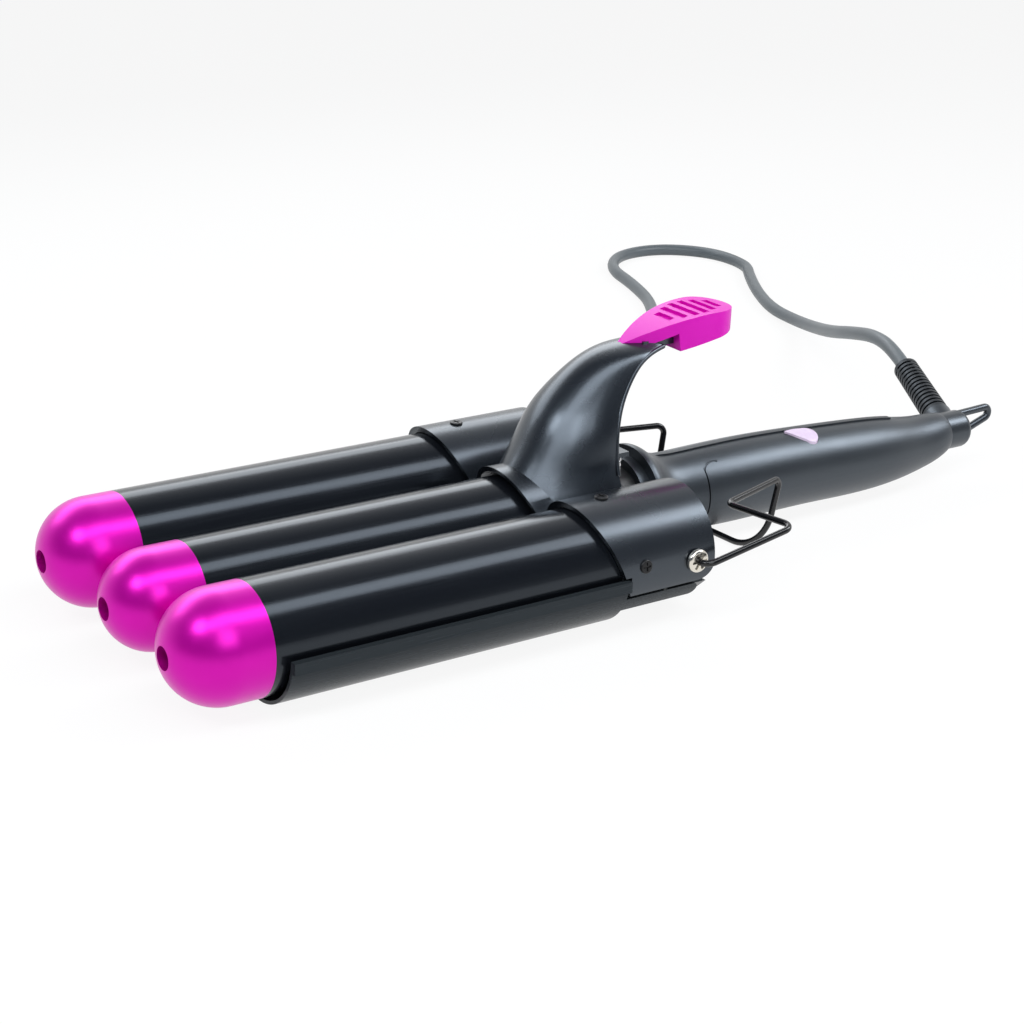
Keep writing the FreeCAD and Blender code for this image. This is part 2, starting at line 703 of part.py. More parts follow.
def neck_mount():
    """Cast neck: carries the middle barrel, stands on the yoke and runs back into the handle."""
    z = -middle_drop
    spigot = rod_x(middle_barrel_r - barrel_wall - slip_fit, barrel_rear - mount_spigot, barrel_rear + 1, 0, z)
    flange = rod_x(middle_barrel_r, barrel_rear, barrel_rear + plug_flange, 0, z)
    neck = rod_x(neck_r, barrel_rear, neck_rear, 0, neck_z)
    foot = box(yoke_front, yoke_rear, -foot_half_width, foot_half_width, tray_floor + yoke_sheet, neck_z)
    body = spigot.fuse([flange, neck, foot])
    pads = box(spring_x - 4, spring_x + 4, -neck_r, neck_r, spring_pad_z, neck_r + 5)
    body = body.cut(pads)
    for side in (-1, 1):
        peg = Part.makeCylinder(spring_peg_r, spring_peg + 1, vec(spring_x, side * spring_y, spring_pad_z - 1))
        body = body.fuse(peg)
    return one_solid(body.cut(rod_x(neck_bore_r, 0, FAR, 0, neck_z)))


def return_spring(side):
    """Compression spring between the neck and the lever's seat, with turns as half-circle arcs."""
    low = spring_pad_z + spring_wire_r + 0.02
    high = spring_seat_z - spring_wire_r - 0.1
    half_turns = int(spring_turns * 2)
    rise = (high - low) / half_turns
    centre = vec(spring_x, side * spring_y, low)
    edges = []
    for k in range(half_turns * 2):
        points = []
        for part in (k, k + 0.5, k + 1):
            angle = part * math.pi / 2
            points.append(centre + vec(math.cos(angle) * spring_r, math.sin(angle) * spring_r, rise * part / 2))
        edges.append(Part.Arc(*points).toShape())
    return pipe(Part.Wire(edges), spring_wire_r)


def handle_loft(grow, first=0, last=None):
    """Handle form through its stations, with the radius grown by a set amount."""
    rings = []
    for x, z, r in handle_stations[first:last]:
        rings.append(Part.Wire([Part.makeCircle(r + grow, vec(x, 0, z), X_AXIS)]))
    return Part.makeLoft(rings, True, False)


def handle_at(x):
    """Height of the axis and radius at a place along the handle, by straight interpolation."""
    for (x0, z0, r0), (x1, z1, r1) in zip(handle_stations, handle_stations[1:]):
        if x0 <= x <= x1:
            part = (x - x0) / (x1 - x0)
            return z0 + part * (z1 - z0), r0 + part * (r1 - r0)
    return handle_stations[-1][1:]


def slab(x0, x1, z0=-FAR, z1=FAR):
    return box(x0, x1, -FAR, FAR, z0, z1)


def collar():
    """Front collar: flared flange with a nose in front and a spigot behind."""
    body = handle_loft(0).common(slab(0, collar_rear))
    nose = rod_x(collar_nose_r, collar_nose, handle_stations[0][0] + 1, 0, neck_z)
    z, r = handle_at(collar_rear)
    spigot = handle_loft(-handle_wall - slip_fit).common(slab(collar_rear - 1, collar_rear + collar_spigot))
    hollow = rod_x(r - 2 * handle_wall, neck_rear, FAR, 0, z)
    body = body.fuse([nose, spigot])
    return one_solid(body.cut(rod_x(neck_r + slip_fit, 0, neck_rear, 0, neck_z)).cut(hollow))


def button_outline(grow):
    """Teardrop outline of the button, pointed in front and round behind, a little across the handle."""
    r = button_r + grow
    lean = math.radians(62)
    tip = vec(button_tip + grow * 1.6, 0, 0)
    left = vec(r * math.cos(lean), -r * math.sin(lean), 0)
    right = vec(left.x, -left.y, 0)
    bulge = vec(0, 0.5, 0)
    edges = [Part.Arc(right, vec(-r, 0, 0), left).toShape(),
             Part.Arc(left, (left + tip) * 0.5 - bulge, tip).toShape(),
             Part.Arc(tip, (right + tip) * 0.5 + bulge, right).toShape()]
    face = Part.Face(Part.Wire(edges))
    face.rotate(vec(0, 0, 0), Z_AXIS, button_turn)
    face.translate(vec(button_x, button_y, 0))
    return face


def button_prism(grow, z0, z1):
    face = button_outline(grow)
    face.translate(vec(0, 0, z0))
    return face.extrude(Z_AXIS * (z1 - z0))


def power_button():
    cap = button_prism(0, button_bottom, FAR).common(handle_loft(button_proud))
    return one_solid(cap.fuse(button_prism(button_flange_out, button_bottom, button_bottom + button_flange)))


def top_strip():
    """Narrow raised strip along the top of the handle, level with the collar's flare in front."""
    strip = handle_loft(strip_height).cut(handle_loft(0))
    plan = box(strip_front, strip_rear, -strip_half_width, strip_half_width, 0, FAR)
    strip = strip.common(plan)
    return one_solid(strip.cut(box(0, collar_rear, -FAR, FAR, strip_front_top, FAR)))


def on_handle(x, degrees, side):
    """Place on the handle's surface at an angle from its top."""
    z, r = handle_at(x)
    angle = math.radians(degrees)
    return vec(x, side * r * math.sin(angle), z + r * math.cos(angle))


def grip_groove(side):
    """Rounded upper corner of the groove between collar and grip."""
    x = collar_rear + collar_gap / 2
    bend = Part.Arc(on_handle(x, groove_angle + 7, side), on_handle(x + groove_reach * 0.2, groove_angle + 1, side),
                    on_handle(x + groove_reach, groove_angle - 2, side))
    return pipe(Part.Wire([bend.toShape()]), groove_r)


def swivel_hole():
    return rod_x(swivel_shaft_r + hinge_clearance, end_wall_front - 2, FAR, 0, elbow_z)


def screw_column(x, radius, z0, z1):
    return Part.makeCylinder(radius, z1 - z0, vec(x, 0, z0))


def handle_shells():
    """Upper and lower grip shells, with their screw bosses and board posts."""
    outer = handle_loft(0)
    body = outer.common(slab(collar_rear + collar_gap, FAR))
    body = body.cut(handle_loft(-handle_wall).common(slab(0, end_wall_front))).cut(swivel_hole())
    upper = body.common(slab(0, FAR, handle_split, FAR))
    bridge = outer.cut(handle_loft(-handle_wall)).common(slab(collar_rear, collar_rear + 1))
    z, r = handle_at(collar_rear)
    half = r * math.sin(math.radians(groove_angle + 4))
    upper = upper.fuse(bridge.common(box(0, FAR, -half, half, 0, FAR)))
    for side in (-1, 1):
        upper = upper.cut(grip_groove(side))
    lower = body.common(slab(0, FAR, -FAR, handle_split))
    for x in handle_screw_x:
        upper = upper.fuse(screw_column(x, screw_boss_r, handle_split, 20).common(outer))
        lower = lower.fuse(screw_column(x, screw_boss_r, -30, handle_split).common(outer))
        lower = lower.cut(screw_column(x, handle_screw_head_r + 0.2, -30, handle_screw_seat))
        lower = lower.cut(screw_column(x, handle_screw_r + screw_clearance, -30, 0))
        upper = upper.cut(screw_column(x, handle_screw_r + screw_clearance, -30, 2))
    under_board = board_top - board_thickness
    for x in (board_front + board_post_inset, board_rear - board_post_inset):
        for side in (-1, 1):
            base = vec(x, side * (board_half_width - board_post_inset), -30)
            post = Part.makeCylinder(board_post_r, under_board + 30, base)
            lower = lower.fuse(post.common(outer))
    upper = upper.cut(button_prism(button_clearance, 0, FAR))
    return one_solid(upper), one_solid(lower)


def handle_screw(x):
    head = screw_column(x, handle_screw_head_r, handle_screw_seat - handle_screw_head, handle_screw_seat)
    return one_solid(head.fuse(screw_column(x, handle_screw_r, handle_screw_seat - 1, 1)))


def circuit_board():
    return box(board_front, board_rear, -board_half_width, board_half_width, board_top - board_thickness, board_top)


def tact_switch():
    x = button_x - 1.5
    body = box(x - switch_half, x + switch_half, button_y - switch_half, button_y + switch_half,
               board_top, board_top + switch_height)
    top = board_top + switch_height
    return one_solid(body.fuse(Part.makeCylinder(plunger_r, plunger_height, vec(x, button_y, top))))


branch = vec(*branch_direction).normalize()
elbow_centre = vec(elbow_x, 0, elbow_z)
relief_start = elbow_centre + branch * branch_length
cord_exit = relief_start + branch * relief_length


def swivel_elbow():
    """Round elbow on a retained shaft, with the branch for the cord and the hang loop."""
    body = rod_x(elbow_r, elbow_front, elbow_rear, 0, elbow_z)
    rim = [e for e in body.Edges if e.Closed and e.CenterOfMass.x > elbow_x]
    body = body.makeFillet(elbow_round, rim[:1])
    shaft = rod_x(swivel_shaft_r, swivel_flange_front, elbow_x, 0, elbow_z)
    flange = rod_x(swivel_flange_r, swivel_flange_front, swivel_flange_front + swivel_flange, 0, elbow_z)
    arm = Part.makeCylinder(branch_r, branch_length, elbow_centre, branch)
    return one_solid(body.fuse([shaft, flange, arm, hang_loop()]))


def hang_loop():
    """Bent loop behind the elbow: two straight legs that touch the round at its rear."""
    centre = vec(loop_rear - loop_corner_r, 0, loop_corner_z)
    ends = [vec(elbow_x, 0, loop_top), vec(elbow_x, 0, loop_bottom)]
    touches = []
    for end, side in zip(ends, (-1, 1)):
        away = end - centre
        angle = math.atan2(away.z, away.x) + side * math.acos(loop_corner_r / away.Length)
        touches.append(centre + vec(math.cos(angle), 0, math.sin(angle)) * loop_corner_r)
    rear = centre + X_AXIS * loop_corner_r
    path = Part.Wire([Part.LineSegment(ends[0], touches[0]).toShape(), Part.Arc(touches[0], rear, touches[1]).toShape(),
                      Part.LineSegment(touches[1], ends[1]).toShape()])
    return pipe(path, loop_r)


def strain_relief():
    """Rubber sleeve with slots between four spines, which let it bend."""
    pitch = relief_length / (relief_rib_count + 1)
    profile = [vec(0, 0, 0), vec(0, relief_base_r, 0)]
    for k in range(relief_rib_count):
        start = (k + 0.8) * pitch
        for x, dip in ((start, 0), (start, 1), (start + pitch * 0.45, 1), (start + pitch * 0.45, 0)):
            r = relief_base_r + (relief_tip_r - relief_base_r) * x / relief_length
            profile.append(vec(x, r - dip * relief_groove_depth, 0))
    profile += [vec(relief_length, relief_tip_r, 0), vec(relief_length, 0, 0), vec(0, 0, 0)]
    sleeve = Part.Face(Part.makePolygon(profile)).revolve(vec(0, 0, 0), X_AXIS, 360)
    core = relief_tip_r - 1.5 * relief_groove_depth
    spine = box(0, relief_length, -relief_spine_half, relief_spine_half, core, relief_tip_r - 0.1)
    spines = []
    for k in range(4):
        turned = spine.copy()
        turned.rotate(vec(0, 0, 0), X_AXIS, relief_spine_turn + 90 * k)
        spines.append(turned)
    sleeve = one_solid(sleeve.fuse(spines))
    sleeve.Placement = FreeCAD.Placement(relief_start, FreeCAD.Rotation(X_AXIS, branch))
    return sleeve


def wire_stand():
    """One bent wire: an end in each rivet, a notch at each side and a sling under the handle."""
    shoulder = (stand_shoulder[0], stand_side - stand_lean, stand_shoulder[1])
    half = [(hinge_x, stand_inner_end, hinge_z), (hinge_x, stand_side, hinge_z), shoulder] + stand_points
    sling = (stand_sling_x, 0, stand_points[-1][2])
    points = [(x, -y, z) for x, y, z in half] + [sling] + half[::-1]
    radii = list(stand_bend_r) + [stand_sling_r] + list(stand_bend_r[::-1])
    return pipe(rounded_path(points, radii), stand_r)


def cord_radii(points):
    """The largest bend that each corner of the cord's route has room for."""
    radii = []
    for a, b, c in zip(points, points[1:], points[2:]):
        back = vec(*a) - vec(*b)
        ahead = vec(*c) - vec(*b)
        turn = math.pi - back.getAngle(ahead)
        radii.append(0.45 * min(back.Length, ahead.Length) / math.tan(turn / 2))
    return radii


def biarc(p, tp, q, tq):
    """Two tangent arcs from p to q with the given directions."""
    v = q - p
    t = tp + tq
    a = t.dot(t) - 4
    b = -2 * v.dot(t)
    c = v.dot(v)
    d = -c / b
    if abs(a) > 1e-9:
        root = math.sqrt(b * b - 4 * a * c)
        d = max((-b + root) / (2 * a), (-b - root) / (2 * a))
    first = p + tp * d
    second = q - tq * d
    join = (first + second) * 0.5
    return [corner_arc(p, first, join), corner_arc(join, second, q)]


def corner_arc(a, corner, b):
    """Arc from a to b that touches the two equal legs of the corner."""
    back = (a - corner).normalize()
    ahead = (b - corner).normalize()
    half = back.getAngle(ahead) / 2
    if abs(math.pi / 2 - half) < 1e-5:
        return Part.LineSegment(a, b).toShape()
    leg = (a - corner).Length
    radius = leg * math.tan(half)
    middle = corner + (back + ahead).normalize() * (radius / math.sin(half) - radius)
    return Part.Arc(a, middle, b).toShape()


hank_x0 = hank_middle - hank_run / 2
hank_x1 = hank_middle + hank_run / 2
hank_low = table_z + hank_lift + cord_r
hank_high = hank_low + hank_layer
hank_far = hank_near + 2 * (hank_fold_r + hank_lane)
# Each run of the hank: lane, heights at its ends, and the side to which the waist draws it in
hank_runs = [(hank_far, hank_low, hank_low, -1), (hank_near, hank_low, hank_low, 1),
             (hank_far - hank_lane, hank_low, hank_low, -1), (hank_near + hank_lane, hank_low, hank_high, 1),
             (hank_far - hank_lane, hank_high, hank_high, -1), (hank_near, hank_high, hank_high, 1)]


def hank_path():
    """Centre line of the hank, from the lead's end to the plug."""
    edges = []
    ahead = -1
    first_y, first_z = hank_runs[0][0], hank_runs[0][1]
    start = vec(hank_x1 + 2 * cord_r, first_y, first_z)
    edges.append(Part.LineSegment(start, vec(hank_x1, first_y, first_z)).toShape())
    for k, (y, z0, z1, inward) in enumerate(hank_runs):
        begin_x = hank_x1 if ahead < 0 else hank_x0
        end_x = hank_x0 if ahead < 0 else hank_x1
        begin = vec(begin_x, y, z0)
        waist = vec(hank_middle, y + inward * hank_waist, (z0 + z1) / 2)
        end = vec(end_x, y, z1)
        heading = X_AXIS * ahead
        climb = vec(ahead * hank_run / 2, 0, z1 - z0).normalize()
        edges += biarc(begin, heading, waist, climb) + biarc(waist, climb, end, heading)
        if k + 1 < len(hank_runs):
            next_y = hank_runs[k + 1][0]
            r = abs(next_y - y) / 2
            crown = vec(end_x + ahead * r, (y + next_y) / 2, z1)
            edges.append(Part.Arc(end, crown, vec(end_x, next_y, z1)).toShape())
        ahead = -ahead
    return edges


def hank_tail(start):
    """Leads the end of the hank round its fold and straight out to the plug."""
    r = hank_fold_r + hank_lane
    turn = math.radians(45)
    centre = start + Y_AXIS * r
    mid = centre + vec(r * math.sin(turn / 2), -r * math.cos(turn / 2), 0)
    end = centre + vec(r * math.sin(turn), -r * math.cos(turn), 0)
    slant = vec(math.cos(turn), math.sin(turn), 0)
    bend = end + slant * tail_straight
    pivot = bend + vec(slant.y, -slant.x, 0) * tail_bend_r
    bend_mid = pivot + vec(-math.sin(turn / 2), math.cos(turn / 2), 0) * tail_bend_r
    bend_end = pivot + Y_AXIS * tail_bend_r
    exit_point = bend_end + X_AXIS * (2 * cord_r)
    edges = [Part.Arc(start, mid, end).toShape(), Part.LineSegment(end, bend).toShape(),
             Part.Arc(bend, bend_mid, bend_end).toShape(), Part.LineSegment(bend_end, exit_point).toShape()]
    return edges, exit_point


def least_gap(path, radius, spacing=2.0):
    """Least clear distance of a tube to itself, measured on points along its centre line."""
    points = path.discretize(Distance=spacing)
    skip = int(6 * radius / spacing) + 2
    least = FAR
    for i, p in enumerate(points):
        for q in points[i + skip:]:
            least = min(least, (p - q).Length)
    return least - 2 * radius


def cord_tie():
    """Strap round the waist of the hank."""
    reach = cord_r + tie_gap
    y0 = hank_near + hank_waist - reach
    y1 = hank_far - hank_waist + reach
    z0 = table_z + hank_lift - tie_gap
    z1 = hank_high + reach
    x0 = hank_middle - tie_width / 2
    x1 = hank_middle + tie_width / 2
    t = tie_thickness
    outer = box(x0, x1, y0 - t, y1 + t, z0 - t, z1 + t)
    corners = [e for e in outer.Edges if e.BoundBox.XLength > tie_width - 1]
    inner = box(x0 - 1, x1 + 1, y0, y1, z0, z1)
    inside = [e for e in inner.Edges if e.BoundBox.XLength > tie_width - 1]
    return one_solid(outer.makeFillet(2.4, corners).cut(inner.makeFillet(1.7, inside)))


def plug_body(entry):
    """Flat two-pin plug with its own short sleeve, lying on its edge on the table."""
    x0 = entry.x + plug_relief_length
    x1 = x0 + plug_length_body
    half_height = entry.z - table_z - table_gap
    block = box(x0, x1, entry.y - plug_half_width, entry.y + plug_half_width,
                entry.z - half_height, entry.z + half_height)
    block = block.makeFillet(plug_corner_r, [e for e in block.Edges if e.BoundBox.XLength > 5])
    sleeve = Part.makeCone(cord_r + 0.6, plug_relief_r + 1, plug_relief_length + 1, entry, X_AXIS)
    return one_solid(block.fuse(sleeve))


def plug_pin(entry, side):
    x0 = entry.x + plug_relief_length + plug_length_body
    z = entry.z + side * pin_spacing / 2
    blade = box(x0, x0 + pin_length, entry.y - pin_width / 2, entry.y + pin_width / 2,
                z - pin_thickness / 2, z + pin_thickness / 2)
    nose = [e for e in blade.Edges if e.BoundBox.ZLength > pin_thickness - 0.1 and e.CenterOfMass.x > x0 + 1]
    return blade.makeFillet(pin_width * 0.3, nose)


def build():
    os.makedirs("parts", exist_ok=True)
    outer_tips = {"left": -1, "right": 1}
    for name, side in outer_tips.items():
        y = side * barrel_pitch
        save(name + "_barrel", outer_barrel(side))
        save(name + "_cap", dome_cap(barrel_r, 0.0, y, 0.0))
        save(name + "_heater_core", heater_core(barrel_r, 0.0, y, 0.0))
        save(name + "_barrel_plug", barrel_plug(side))
    save("outer_cap_screws", cap_screw(0.0, -barrel_pitch, 0.0), cap_screw(0.0, barrel_pitch, 0.0))
    save("cover_screws", *(cover_screws(-1) + cover_screws(1)))
    low = -middle_drop
    middle_front = middle_setback + cap_length
    middle = tube_x(middle_barrel_r, middle_barrel_r - barrel_wall, middle_front, barrel_rear, 0, low)
    save("middle_barrel", middle)
    save("middle_cap", dome_cap(middle_barrel_r, middle_setback, 0, low))
    save("middle_heater_core", heater_core(middle_barrel_r, middle_setback, 0, low))
    save("middle_cap_screw", cap_screw(middle_setback, 0, low))
    jaw_cover = cover()
    save("jaw_cover", jaw_cover)
    save("thumb_tab", thumb_tab(jaw_cover))
    save("lower_tray", lower_tray())
    save("hinge_yoke", hinge_yoke())
    save("hinge_rivets", hinge_rivet(-1), hinge_rivet(1))
    save("hinge_washers", hinge_washer(-1), hinge_washer(1))
    save("neck_mount", neck_mount())
    save("left_spring", return_spring(-1))
    save("right_spring", return_spring(1))
    save("wire_stand", wire_stand())
    upper, lower = handle_shells()
    save("handle_collar", collar())
    save("handle_upper_shell", upper)
    save("handle_lower_shell", lower)
    save("handle_screws", *[handle_screw(x) for x in handle_screw_x])
    save("top_strip", top_strip())
    save("power_button", power_button())
    save("circuit_board", circuit_board())
    save("tact_switch", tact_switch())
    save("swivel_elbow", swivel_elbow())
    save("strain_relief", strain_relief())
    build_cord()


def build_cord():
    tail_edges, entry = hank_tail(vec(hank_x1, hank_near, hank_high))
    hank = Part.Wire(hank_path() + tail_edges)
    start = hank.OrderedEdges[0].valueAt(hank.OrderedEdges[0].FirstParameter)
    approach = start + X_AXIS * lead_approach
    leave = [tuple(cord_exit + branch * lead_start_gap), tuple(cord_exit + branch * lead_exit_run)]
    points = leave + lead_points + [tuple(approach), tuple(start)]
    radii = cord_radii(points)
    print("lead radii", [round(r, 1) for r in radii])
    lead = rounded_path(points, radii)
    lead_tube = pipe(lead, cord_r)
    check_volume("lead", lead_tube, lead, cord_r)
    hank_tube = pipe(hank, cord_r)
    check_volume("hank", hank_tube, hank, cord_r)
    print("hank least gap", round(least_gap(hank, cord_r), 2))
    save("cord_lead", lead_tube)
    save("cord_hank", hank_tube)
    save("cord_tie", cord_tie())
    save("plug_body", plug_body(entry))
    save("plug_pins", plug_pin(entry, -1), plug_pin(entry, 1))


build()
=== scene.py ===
import json
import math
import bpy
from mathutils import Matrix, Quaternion, Vector


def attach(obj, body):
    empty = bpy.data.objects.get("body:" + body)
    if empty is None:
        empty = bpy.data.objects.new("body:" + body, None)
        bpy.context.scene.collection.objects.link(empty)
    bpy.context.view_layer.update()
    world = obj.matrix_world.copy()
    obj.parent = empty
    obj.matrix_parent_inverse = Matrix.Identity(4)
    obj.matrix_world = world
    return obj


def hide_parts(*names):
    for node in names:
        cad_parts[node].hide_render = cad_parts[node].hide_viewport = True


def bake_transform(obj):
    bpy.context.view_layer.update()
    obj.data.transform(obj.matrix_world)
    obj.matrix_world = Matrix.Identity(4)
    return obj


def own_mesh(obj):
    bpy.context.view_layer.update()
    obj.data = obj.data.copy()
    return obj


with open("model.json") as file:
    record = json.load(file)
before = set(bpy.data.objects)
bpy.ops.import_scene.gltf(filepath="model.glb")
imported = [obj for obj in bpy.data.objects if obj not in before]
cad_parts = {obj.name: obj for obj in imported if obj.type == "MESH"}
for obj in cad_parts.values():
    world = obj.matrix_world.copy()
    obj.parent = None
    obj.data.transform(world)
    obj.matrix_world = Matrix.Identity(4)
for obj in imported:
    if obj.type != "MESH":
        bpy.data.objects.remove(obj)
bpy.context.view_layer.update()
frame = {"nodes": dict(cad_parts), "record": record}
nodes = frame["nodes"]

# Places are given in millimetres as in the part's source: x from the tips, z from the outer barrels' axes.
MM = 0.001
LENGTH = 338.5
REST_HEIGHT = 18.3
TABLE = -REST_HEIGHT


def at(x, y, z):
    """A place on the waver, in the row frame."""
    return Vector(((x - LENGTH / 2) * MM, y * MM, (z + REST_HEIGHT) * MM))


def deselect():
    bpy.ops.object.select_all(action="DESELECT")


def add_node(tree, kind, inputs=None, **settings):
    """A shader node with its settings. Each input is a plain value or another node's output."""
    node = tree.nodes.new("ShaderNode" + kind)
    for name, value in settings.items():
        setattr(node, name, value)
    for socket, value in (inputs or {}).items():
        if isinstance(value, bpy.types.NodeSocket):
            tree.links.new(value, node.inputs[socket])
        else:
            node.inputs[socket].default_value = value
    return node


# Camera
CAMERA_PLACE = (-232.39, -509.03, 242.46)
CAMERA_FORWARD = (0.5461056, 0.75745214, -0.3578197)
CAMERA_ROLL = 2.32
CAMERA_LENS = 78.89
CAMERA_SENSOR = 36
CAMERA_NEAR = 0.01


def add_camera():
    bpy.ops.object.camera_add(location=at(*CAMERA_PLACE))
    camera = bpy.context.object
    camera.name = "photo_camera"
    camera.data.lens = CAMERA_LENS
    camera.data.sensor_width = CAMERA_SENSOR
    camera.data.clip_start = CAMERA_NEAR
    camera.rotation_mode = "QUATERNION"
    facing = Vector(CAMERA_FORWARD).to_track_quat("-Z", "Y")
    camera.rotation_quaternion = facing @ Quaternion((0, 0, 1), math.radians(CAMERA_ROLL))
    bpy.context.scene.camera = camera


# Light and floor
WHITE = (1, 1, 1, 1)
WORLD_LEVEL = 0.45
ROOM_TONE = (0.10, 0.115, 0.14, 1)
ROOM_SIDE = (-0.42, -0.62, 0.66)
ROOM_FADE_START = -0.25
ROOM_FADE_END = 0.45
LAMP_TINT = (0.94, 0.97, 1.0)
# Sizes are in metres and powers in watts. A lamp with "lights_only" is screened off from all other nodes.
LAMPS = {
    "key_softbox": {"place": (450, -230, 540), "aim": (450, 0, 0), "size": (1.5, 0.2), "power": 4.2},
    "front_softbox": {"place": (0, -500, 350), "aim": (140, 0, 10), "size": (0.34, 0.3), "power": 1.0},
    "lever_softbox": {"place": (-190, -340, 320), "aim": (145, -10, 29), "size": (0.40, 0.32), "power": 1.7,
                      "lights_only": ("jaw_cover",)},
    "handle_softbox": {"place": (820, -240, 560), "aim": (300, 0, 0), "size": (0.45, 0.28), "power": 2.2},
    "tip_softbox": {"place": (-290, -90, 390), "aim": (10, 0, 0), "size": (0.15, 0.15), "power": 0.8},
    "back_softbox": {"place": (130, 480, 340), "aim": (120, 0, 0), "size": (0.9, 0.24), "power": 2.0},
}
FLOOR_HALF = 3.0
FLOOR_WHITE = 0.86
FLOOR_GLOW = 0.9
# Places of the colour sockets on a Mix node
MIX_FIRST, MIX_SECOND, MIX_RESULT = 6, 7, 2


def seen_directly(tree):
    """1 for rays from the camera and for mirrored or refracted ones, which all meet the white backdrop."""
    path = add_node(tree, "LightPath").outputs
    straight = add_node(tree, "Math", {0: path["Is Camera Ray"], 1: path["Is Glossy Ray"]},
                        operation="MAXIMUM")
    seen = add_node(tree, "Math", {0: straight.outputs["Value"], 1: path["Is Transmission Ray"]},
                    operation="MAXIMUM")
    return seen.outputs["Value"]


def set_world():
    """A white sweep behind the object and a dim room above and behind the camera. The camera sees white."""
    world = bpy.data.worlds.new("white_studio")
    bpy.context.scene.world = world
    world.use_nodes = True
    tree = world.node_tree
    direction = add_node(tree, "TexCoord").outputs["Generated"]
    facing = add_node(tree, "VectorMath", {0: direction, 1: ROOM_SIDE}, operation="DOT_PRODUCT")
    room = add_node(tree, "MapRange", {"Value": facing.outputs["Value"], "From Min": ROOM_FADE_START,
                                       "From Max": ROOM_FADE_END})
    camera_ray = add_node(tree, "LightPath").outputs["Is Camera Ray"]
    mirrored = add_node(tree, "Math", {0: room.outputs["Result"], 1: camera_ray}, operation="SUBTRACT",
                        use_clamp=True)
    fade = add_node(tree, "Mix", {"Factor": mirrored.outputs["Value"], MIX_FIRST: WHITE,
                                  MIX_SECOND: ROOM_TONE}, data_type="RGBA")
    level = add_node(tree, "MapRange", {"Value": seen_directly(tree), "To Min": WORLD_LEVEL, "To Max": 1.0})
    background = tree.nodes["Background"]
    tree.links.new(fade.outputs[MIX_RESULT], background.inputs["Color"])
    tree.links.new(level.outputs["Result"], background.inputs["Strength"])


def add_lamps():
    for name, lamp in LAMPS.items():
        place = at(*lamp["place"])
        bpy.ops.object.light_add(type="AREA", location=place)
        light = bpy.context.object
        light.name = name
        light.data.shape = "RECTANGLE"
        light.data.size, light.data.size_y = lamp["size"]
        light.data.energy = lamp["power"]
        light.data.color = LAMP_TINT
        light.rotation_mode = "QUATERNION"
        light.rotation_quaternion = (at(*lamp["aim"]) - place).to_track_quat("-Z", "Y")
        if "lights_only" in lamp:
            lit = bpy.data.collections.new(name + "_receivers")
            for node in lamp["lights_only"]:
                lit.objects.link(nodes[node])
            light.light_linking.receiver_collection = lit


def add_floor():
    bpy.ops.mesh.primitive_plane_add(size=2 * FLOOR_HALF, location=(0, 0, 0))
    floor = bpy.context.object
    floor.name = "studio_floor"
    material = bpy.data.materials.new("white_floor")
    material.use_nodes = True
    tree = material.node_tree
    tree.nodes.remove(tree.nodes["Principled BSDF"])
    matte = add_node(tree, "BsdfDiffuse", {"Color": (FLOOR_WHITE, FLOOR_WHITE, FLOOR_WHITE, 1)})
    glow = add_node(tree, "Emission", {"Color": WHITE})
    share = add_node(tree, "Math", {0: seen_directly(tree), 1: FLOOR_GLOW}, operation="MULTIPLY")
    mix = add_node(tree, "MixShader", {"Fac": share.outputs["Value"], 1: matte.outputs["BSDF"],
                                       2: glow.outputs["Emission"]})
    tree.links.new(mix.outputs["Shader"], tree.nodes["Material Output"].inputs["Surface"])
    floor.data.materials.append(material)


# Shader groups
FLOAT = "NodeSocketFloat"
COLOUR = "NodeSocketColor"
VECTOR = "NodeSocketVector"
SURFACE_INPUTS = [("Scale", FLOAT), ("Depth", FLOAT), ("Roughness", FLOAT), ("Drift", FLOAT)]
SURFACE_OUTPUTS = [("Normal", VECTOR), ("Roughness", FLOAT)]
NOISE_MIDDLE = 0.5
GRAIN_DETAIL = 3
GRAIN_HEIGHT = 0.0002
CLOUD_SCALE = 60
CLOUD_DETAIL = 4
TONE_DETAIL = 5
LINE_STRETCH = (0.02, 1, 1)
LINE_DETAIL = 2
LINE_HEIGHT = 0.0001


def new_group(name, inputs, outputs):
    """An empty group with its named sockets, and the nodes that stand for them inside it."""
    group = bpy.data.node_groups.new(name, "ShaderNodeTree")
    for label, kind in inputs:
        group.interface.new_socket(label, in_out="INPUT", socket_type=kind)
    for label, kind in outputs:
        group.interface.new_socket(label, in_out="OUTPUT", socket_type=kind)
    return group, group.nodes.new("NodeGroupInput"), group.nodes.new("NodeGroupOutput")


def link_relief(group, source, result, relief, height):
    """Puts a noise out as a bumped normal."""
    bump = add_node(group, "Bump", {"Height": relief.outputs["Fac"], "Strength": source.outputs["Depth"],
                                    "Distance": height})
    group.links.new(bump.outputs["Normal"], result.inputs["Normal"])


def link_roughness(group, source, result, noise):
    """Puts out a roughness that drifts to both sides of its value with a noise."""
    centred = add_node(group, "Math", {0: noise.outputs["Fac"], 1: NOISE_MIDDLE}, operation="SUBTRACT")
    drift = add_node(group, "Math", {0: centred.outputs["Value"], 1: source.outputs["Drift"],
                                     2: source.outputs["Roughness"]}, operation="MULTIPLY_ADD")
    group.links.new(drift.outputs["Value"], result.inputs["Roughness"])


